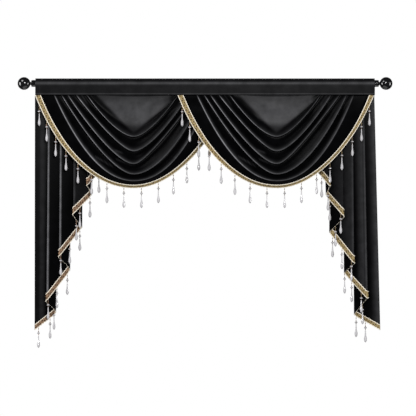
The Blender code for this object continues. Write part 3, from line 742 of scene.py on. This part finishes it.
braid = {
    "width": 0.024, "repeat": 0.0130, "stepsPerRepeat": 6, "ground": 0.0009,
    # rest is a strand's height above the hem, swing how far it waves, weave how far it dips under.
    "strands": (
        Strand(gold, 0.0103, 0.0034, 0.0005, 0.0011, "cross"),
        Strand(gold, 0.0137, 0.0034, 0.0005, 0.0011, "cross"),
        Strand(gold, 0.0103, -0.0034, -0.0005, 0.0011, "cross"),
        Strand(gold, 0.0137, -0.0034, -0.0005, 0.0011, "cross"),
        Strand(ivory, 0.0026, -0.0020, 0.0, 0.0019, "scallop"),
        Strand(gold, 0.0050, -0.0004, 0.0, 0.0010, "scallop"),
        Strand(brown, 0.0062, 0.0004, 0.0, 0.0007, "scallop"),
        Strand(ivory, 0.0214, 0.0020, 0.0, 0.0019, "scallop"),
        Strand(gold, 0.0190, 0.0004, 0.0, 0.0010, "scallop"),
        Strand(brown, 0.0178, -0.0004, 0.0, 0.0007, "scallop"),
    ),
    "eyeLength": 0.0078, "eyeHeight": 0.0072, "eyeHalfDepth": 0.0011, "eyeOut": 0.0022, "eyeSwing": 0.0026,
    "groundInset": 0.0018, "groundStep": 0.003, "groundEnd": 0.0005, "strandEnd": 0.001,
}


def braidRun(topLine, hemLine):
    # Sections of the braid: length, hem point, way up to the top line and mitred way out.
    facings = []
    last = len(hemLine) - 1
    for k, (top, hem) in enumerate(zip(topLine, hemLine)):
        across = Vector(hem - top).normalized()
        ways = []
        for start, end in ((max(k - 1, 0), max(k, 1)), (min(k, last - 1), min(k + 1, last))):
            way = Vector(hemLine[end] - hemLine[start])
            ways.append((way - across * way.dot(across)).normalized())
        facing = across.cross(ways[0] + ways[1])
        if k in (0, last):
            facing.z = 0.0
        facings.append(facing.normalized() * 2 / (ways[0] + ways[1]).length)
    return {"lengths": lineLengths(hemLine), "hem": np.array(hemLine),
            "up": (topLine - hemLine) / braid["width"], "out": np.array(facings)}


def onBraid(run, along, up, out):
    # The places of points on the braid: along it, up from the hem and out from the cloth.
    def between(values):
        return np.stack([np.interp(along, run["lengths"], values[:, k]) for k in range(3)], axis=-1)
    near = cloth["thickness"] / 2 + cloth["sewnGap"]
    return (between(run["hem"]) + between(run["up"]) * np.asarray(up)[..., None]
            + between(run["out"]) * (np.asarray(out) + near)[..., None])


def strandPoints(run, strand):
    total = run["lengths"][-1]
    count = int(total / braid["repeat"] * braid["stepsPerRepeat"])
    along = np.linspace(braid["strandEnd"], total - braid["strandEnd"], count + 1)
    turn = math.pi * along / braid["repeat"]
    if strand.kind == "cross":
        up = strand.rest + strand.swing * np.cos(turn)
        out = strand.weave * np.sin(turn)
    else:
        up = strand.rest + strand.swing * (np.abs(np.cos(turn)) ** 0.7)
        out = np.zeros(len(along))
    return onBraid(run, along, up, out + braid["ground"] * 0.6 + strand.radius * 0.6)


def makeCords(cords, name):
    # A mesh of round cords from (points, radius, material) through a bevelled curve.
    curve = bpy.data.curves.new(name, "CURVE")
    curve.dimensions = "3D"
    curve.bevel_depth = 0.001
    curve.bevel_resolution = 1
    curve.use_fill_caps = True
    for material in braidMaterials:
        curve.materials.append(material)
    for points, radius, finish in cords:
        spline = curve.splines.new("POLY")
        spline.points.add(len(points) - 1)
        spline.points.foreach_set("co", np.column_stack([points, np.ones(len(points))]).ravel())
        spline.points.foreach_set("radius", np.full(len(points), radius / curve.bevel_depth))
        spline.material_index = finish
        spline.use_smooth = True
    guide = bpy.data.objects.new(name, curve)
    mesh = bpy.data.meshes.new_from_object(guide)
    bpy.data.objects.remove(guide)
    bpy.data.curves.remove(curve)
    return mesh


def addBodyPart(body, added, finish):
    # Puts one bmesh into another, all its faces in one finish.
    for face in added.faces:
        face.material_index = finish
    mesh = bpy.data.meshes.new("added")
    added.to_mesh(mesh)
    added.free()
    body.from_mesh(mesh)
    bpy.data.meshes.remove(mesh)


def groundBody(run):
    # The flat woven ground behind the strands: a closed strip, a little narrower than the braid.
    total = run["lengths"][-1]
    end = braid["groundEnd"]
    along = np.linspace(end, total - end, int(total / braid["groundStep"]) + 1)
    near, far = 0.0, braid["ground"]
    low, high = braid["groundInset"], braid["width"] - braid["groundInset"]
    ring = ((low, near), (low, far), (blend(low, high, 0.5), far * 1.1), (high, far), (high, near),
            (low, near))
    strip = gridBody([onBraid(run, along, np.full(len(along), up), np.full(len(along), out))
                      for up, out in ring], closed=True)
    bmesh.ops.holes_fill(strip, edges=strip.edges, sides=0)
    bmesh.ops.recalc_face_normals(strip, faces=strip.faces)
    return strip


def addEyes(body, run):
    # A brown oval in each repeat of the crossing strands, by turns above and under the middle.
    total = run["lengths"][-1]
    repeat = braid["repeat"]
    for k in range(1, int(total / repeat) + 1):
        middle = (k - 0.5) * repeat
        if middle > total - repeat / 2:
            break
        oval = bmesh.new()
        bmesh.ops.create_icosphere(oval, subdivisions=1, radius=1.0)
        local = np.array([vertex.co for vertex in oval.verts])
        local *= (braid["eyeLength"] / 2, braid["eyeHeight"] / 2, braid["eyeHalfDepth"])
        up = braid["width"] / 2 + braid["eyeSwing"] * (-1) ** k
        places = onBraid(run, middle + local[:, 0], up + local[:, 1], local[:, 2] + braid["eyeOut"])
        for vertex, place in zip(oval.verts, places):
            vertex.co = place
        addBodyPart(body, oval, brown)


def buildBraid(clothName, topLine, hemLine, places):
    run = braidRun(topLine, hemLine)
    node = "trim_" + clothName
    cords = [(strandPoints(run, strand), strand.radius, strand.finish) for strand in braid["strands"]]
    roots = []
    for along, forward in places:
        root = onBraid(run, np.array([along]), np.array([0.0]), np.array([0.001]))[0]
        hang = root + np.array([0.0, -forward, 0.0])
        roots.append(hang)
        top = onBraid(run, np.array([along]), np.array([0.006]), np.array([0.0014]))[0]
        cords.append((np.array([top, root, blend(root, hang, 0.5) - (0, 0, 0.004),
                                hang - np.array([0.0, 0.0, drops["crystalTop"]])]),
                      drops["threadRadius"], gold))
    body = bmesh.new()
    mesh = makeCords(cords, "cords")
    body.from_mesh(mesh)
    bpy.data.meshes.remove(mesh)
    addBodyPart(body, groundBody(run), gold)
    addEyes(body, run)
    # The left tail's braid gets the shaded copy of the gold thread: painted shade.
    finishes = braidMaterials if clothName != "tail_left" else (shadedGoldThread, *braidMaterials[1:])
    band = makePiece("braid_" + clothName, body, finishes, [node])
    hanging = buildDrops("drops_" + clothName, roots, node)
    return [band, hanging]


Bead = namedtuple("Bead", "name finish sides outline")

dropFinishes = (crystal, bronzeBead)
clear, metal = range(2)

drops = {
    "threadRadius": 0.0008, "crystalTop": 0.0420, "turnEach": 2.4,
    # Each bead's outline from its top to its bottom, as (depth under the braid, radius).
    "beads": (
        Bead("seed bead", metal, 8, (
            (0.0055, 0.0), (0.0062, 0.0018), (0.0080, 0.0026), (0.0098, 0.0018), (0.0105, 0.0))),
        Bead("spacer bead", metal, 8, (
            (0.0185, 0.0), (0.0192, 0.0020), (0.0212, 0.0030), (0.0232, 0.0020), (0.0240, 0.0))),
        Bead("rondelle", clear, 10, (
            (0.0240, 0.0), (0.0244, 0.0034), (0.0275, 0.0068), (0.0290, 0.0068), (0.0321, 0.0034),
            (0.0325, 0.0))),
        Bead("lower bead", metal, 8, (
            (0.0325, 0.0), (0.0332, 0.0018), (0.0350, 0.0026), (0.0368, 0.0018), (0.0375, 0.0))),
        Bead("teardrop", clear, 8, (
            (0.0380, 0.0), (0.0385, 0.0020), (0.0440, 0.0024), (0.0580, 0.0028), (0.0670, 0.0041),
            (0.0750, 0.0062), (0.0820, 0.0070), (0.0890, 0.0064), (0.0940, 0.0042), (0.0972, 0.0012),
            (0.0980, 0.0))),
    ),
}


def dropMesh():
    body = bmesh.new()
    for bead in drops["beads"]:
        turned = bmesh.new()
        line = [turned.verts.new((radius, 0.0, -depth)) for depth, radius in bead.outline]
        edges = [turned.edges.new(pair) for pair in zip(line, line[1:])]
        bmesh.ops.spin(turned, geom=line + edges, cent=(0, 0, 0), axis=(0, 0, 1),
                       angle=2 * math.pi, steps=bead.sides, use_merge=True)
        bmesh.ops.remove_doubles(turned, verts=turned.verts, dist=1e-6)
        bmesh.ops.recalc_face_normals(turned, faces=turned.faces)
        addBodyPart(body, turned, bead.finish)
    mesh = bpy.data.meshes.new("drop")
    body.to_mesh(mesh)
    body.free()
    return mesh


def buildDrops(name, roots, node):
    unit = dropMesh()
    body = bmesh.new()
    for k, root in enumerate(roots):
        copied = bmesh.new()
        copied.from_mesh(unit)
        bmesh.ops.rotate(copied, cent=(0, 0, 0),
                         matrix=Matrix.Rotation(drops["turnEach"] * k, 3, "Z"), verts=copied.verts)
        bmesh.ops.translate(copied, vec=Vector(root), verts=copied.verts)
        mesh = bpy.data.meshes.new("one drop")
        copied.to_mesh(mesh)
        copied.free()
        body.from_mesh(mesh)
        bpy.data.meshes.remove(mesh)
    return makePiece(name, body, dropFinishes, [node], smooth=False)


header = {
    "length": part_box("header")[1].x * 2, "top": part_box("header")[1].z, "bottom": cloth["headerBottom"],
    "halfDepth": 0.0150, "headingHalf": 0.0022, "pocketRadius": 0.0156,
    "sideHem": 0.021, "hemRise": 0.0006, "columns": 200, "flatSize": (1.60, 0.175), "wave": 0.0004,
    # The painted highlight at each height, from the seam up to the heading: a line on the seam's ridge and
    # a band on the rod pocket's front.
    "shineHeights": (-0.0540, -0.0520, -0.0495, -0.0470, -0.0440, -0.0120, -0.0070, -0.0020, 0.0025,
                     0.0070, 0.0120),
    "shine": (0.000, 0.030, 0.075, 0.030, 0.000, 0.000, 0.020, 0.095, 0.105, 0.040, 0.000),
}


def headerSection():
    # Half of the sleeve's outline, front side, from the top of the heading down to the seam.
    radius = header["pocketRadius"] + cloth["thickness"]
    top, bottom, depth = header["top"], header["bottom"], header["halfDepth"]
    half = [(0.0, top), (0.0015, top - 0.0003), (header["headingHalf"], top - 0.0012),
            (0.0026, radius + 0.0022), (0.0040, radius + 0.0002)]
    for degrees in (62.0, 45.0, 30.0, 15.0, 0.0):
        half.append((radius * math.cos(math.radians(degrees)), radius * math.sin(math.radians(degrees))))
    for share in (0.2, 0.4, 0.6, 0.8, 0.93):
        half.append((blend(radius, depth, share), bottom * share))
    half += [(depth + 0.0009, bottom + 0.0024), (depth + 0.0010, bottom + 0.0010), (depth - 0.0006, bottom)]
    return half


def buildHeader():
    half = [np.array([0.0, -depth, height]) for depth, height in headerSection()]
    front = smoothCurve(half, 3)
    back = front[::-1] * (1.0, -1.0, 1.0)
    loop = np.concatenate([front, back])
    edge = header["length"] / 2
    hem = edge - header["sideHem"]
    stops = sorted(set(np.round(np.concatenate([
        np.linspace(-hem + 0.002, hem - 0.002, header["columns"]), [-edge, -edge + 0.004, -edge + 0.012],
        [-hem - 0.0015, -hem - 0.0004, -hem + 0.0004, hem - 0.0004, hem + 0.0004, hem + 0.0015],
        [edge - 0.012, edge - 0.004, edge]]), 6)))
    columns = []
    for x in stops:
        rise = header["hemRise"] * smoothStep((abs(x) - hem) / 0.0008 + 0.5)
        column = loop.copy()
        away = column * (0.0, 1.0, 1.0)
        size = np.linalg.norm(away, axis=1, keepdims=True)
        column = column + away / np.maximum(size, 1e-6) * rise * (column[:, 2:3] < header["top"] - 0.004)
        below = smoothStep((0.004 - column[:, 2]) / 0.03)
        column[:, 1] += below * header["wave"] * math.sin(x * 37.0) * np.sin(x * 11.0 + 1.0)
        column[:, 0] = x
        columns.append(column)
    rows = np.array(columns).transpose(1, 0, 2)
    rows = np.concatenate([rows, rows[:1]])
    nap = np.interp(rows[:, :, 2], header["shineHeights"], header["shine"])
    piece = makePiece("header_sleeve", gridBody(rows, nap, closed=True), [pressedCloth],
                      ["header"])
    thicken(piece, cloth["thickness"], -1.0)


finial = {
    "ballCentre": 0.8538, "ballRadius": 0.0300, "ferruleRadius": 0.0160, "ferruleLength": 0.0190,
    "neckRadius": 0.0075, "gap": 0.0003, "sides": 64, "ballSteps": 24, "sharpDegrees": 35,
}


def finialOutline():
    start = header["length"] / 2 + finial["gap"]
    end = start + finial["ferruleLength"]
    ferrule, neck, ball = finial["ferruleRadius"], finial["neckRadius"], finial["ballRadius"]
    outline = [(start, 0.0), (start, ferrule - 0.0010), (start + 0.0010, ferrule),
               (end - 0.0052, ferrule), (end - 0.0044, ferrule - 0.0012), (end - 0.0036, ferrule - 0.0003),
               (end - 0.0012, ferrule - 0.0006), (end - 0.0002, ferrule - 0.0030),
               (end + 0.0012, neck + 0.0004), (end + 0.0020, neck)]
    first = math.asin(neck / ball)
    for step in range(finial["ballSteps"] + 1):
        angle = math.pi - blend(first, math.pi, step / finial["ballSteps"])
        outline.append((finial["ballCentre"] + ball * math.cos(angle), ball * math.sin(angle)))
    return outline


def buildFinial(name, side, node):
    body = bmesh.new()
    line = [body.verts.new((side * x, 0.0, radius)) for x, radius in finialOutline()]
    edges = [body.edges.new(pair) for pair in zip(line, line[1:])]
    bmesh.ops.spin(body, geom=line + edges, cent=(0, 0, 0), axis=(1, 0, 0), angle=2 * math.pi,
                   steps=finial["sides"], use_merge=True)
    bmesh.ops.remove_doubles(body, verts=body.verts, dist=1e-6)
    bmesh.ops.recalc_face_normals(body, faces=body.faces)
    piece = makePiece(name, body, [glossBlack], [node])
    piece.data.set_sharp_from_angle(angle=math.radians(finial["sharpDegrees"]))


def dressRod():
    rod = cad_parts["rod"]
    rod.data.materials.clear()
    rod.data.materials.append(glossBlack)


studio = {
    "photoMiddleX": 0.0139, "photoMiddleZ": -0.5873, "photoWidth": 1.962,
    "cameraDistance": 12.0, "sensor": 36.0, "floorDrop": 0.50, "floorRadius": 1.45,
    "seenWhite": 1.0, "throughGlass": 0.55, "mirrored": 0.02, "fill": 0.30,
}
Lamp = namedtuple("Lamp", "name azimuth elevation distance width height watts")
lamps = (
    Lamp("front", 6.0, 20.0, 4.0, 1.2, 1.0, 85.0),
    Lamp("left_strip", -78.0, 4.0, 3.5, 0.6, 1.8, 60.0),
    Lamp("right_strip", 78.0, 4.0, 3.5, 0.6, 1.8, 45.0),
    Lamp("top_left", -50.0, 46.0, 4.0, 1.6, 1.2, 40.0),
)


def buildLamps():
    aim = Vector((0.0, 0.0, studio["photoMiddleZ"]))
    for lamp in lamps:
        data = bpy.data.lights.new(lamp.name, "AREA")
        data.shape = "RECTANGLE"
        data.size, data.size_y, data.energy = lamp.width, lamp.height, lamp.watts
        light = bpy.data.objects.new(lamp.name, data)
        turn, rise = math.radians(lamp.azimuth), math.radians(lamp.elevation)
        way = Vector((math.sin(turn) * math.cos(rise), -math.cos(turn) * math.cos(rise), math.sin(rise)))
        light.location = aim + way * lamp.distance
        light.rotation_euler = way.to_track_quat("Z", "Y").to_euler()
        light.visible_camera = False
        scene.collection.objects.link(light)


def buildWorld():
    world = bpy.data.worlds.new("studio")
    scene.world = world
    world.use_nodes = True
    tree = world.node_tree
    path = makeNode(tree, "ShaderNodeLightPath").outputs
    shade = studio["fill"]
    for ray, brightness in (("Is Glossy Ray", "mirrored"), ("Is Transmission Ray", "throughGlass"),
                            ("Is Camera Ray", "seenWhite")):
        mix = makeNode(tree, "ShaderNodeMix", {0: path[ray], 3: studio[brightness]}, data_type="FLOAT")
        if isinstance(shade, bpy.types.NodeSocket):
            tree.links.new(shade, mix.inputs[2])
        else:
            mix.inputs[2].default_value = shade
        shade = mix.outputs[0]
    tree.links.new(shade, tree.nodes["Background"].inputs["Strength"])
    tree.nodes["Background"].inputs["Color"].default_value = (1.0, 1.0, 1.0, 1.0)
    scene.view_settings.view_transform = "Standard"


def buildFloor():
    material, tree, shader = startMaterial("pale floor")
    place = makeNode(tree, "ShaderNodeTexCoord").outputs["Object"]
    grain = makeNode(tree, "ShaderNodeTexNoise", {"Vector": place, "Scale": 6.0, "Detail": 4.0})
    tree.links.new(mixColour(tree, grain.outputs["Fac"], (0.80, 0.80, 0.79, 1.0),
                             (0.86, 0.86, 0.85, 1.0)), shader.inputs["Base Color"])
    setShader(shader, Roughness=0.7)
    body = bmesh.new()
    bmesh.ops.create_circle(body, cap_ends=True, segments=96, radius=studio["floorRadius"])
    bmesh.ops.translate(body, vec=(0.0, 0.0, cadLow.z - studio["floorDrop"]), verts=body.verts)
    mesh = bpy.data.meshes.new("floor")
    body.to_mesh(mesh)
    body.free()
    mesh.materials.append(material)
    floor = bpy.data.objects.new("floor", mesh)
    scene.collection.objects.link(floor)


def buildCamera():
    data = bpy.data.cameras.new("photo_view")
    data.sensor_width = studio["sensor"]
    data.lens = studio["sensor"] * studio["cameraDistance"] / studio["photoWidth"]
    data.clip_end = 100.0
    camera = bpy.data.objects.new("photo_view", data)
    camera.location = (studio["photoMiddleX"], -studio["cameraDistance"], studio["photoMiddleZ"])
    camera.rotation_euler = (math.pi / 2, 0.0, 0.0)
    scene.collection.objects.link(camera)
    scene.camera = camera


buildHeader()
print("Header made")
for place in swag["places"]:
    buildSwag(place)
print("Swags made")
buildTail("tail_left", tail["leftFolds"], -1, tail["leftDrops"], tail["leftShine"])
buildTail("tail_right", tail["rightFolds"], 1, tail["rightDrops"], tail["rightShine"])
print("Tails made")
dressRod()
buildFinial("finial_ball_left", -1, "finial_left")
buildFinial("finial_ball_right", 1, "finial_right")
print("Rod and finials made")
buildLamps()
buildWorld()
buildFloor()
buildCamera()
print("Studio made")
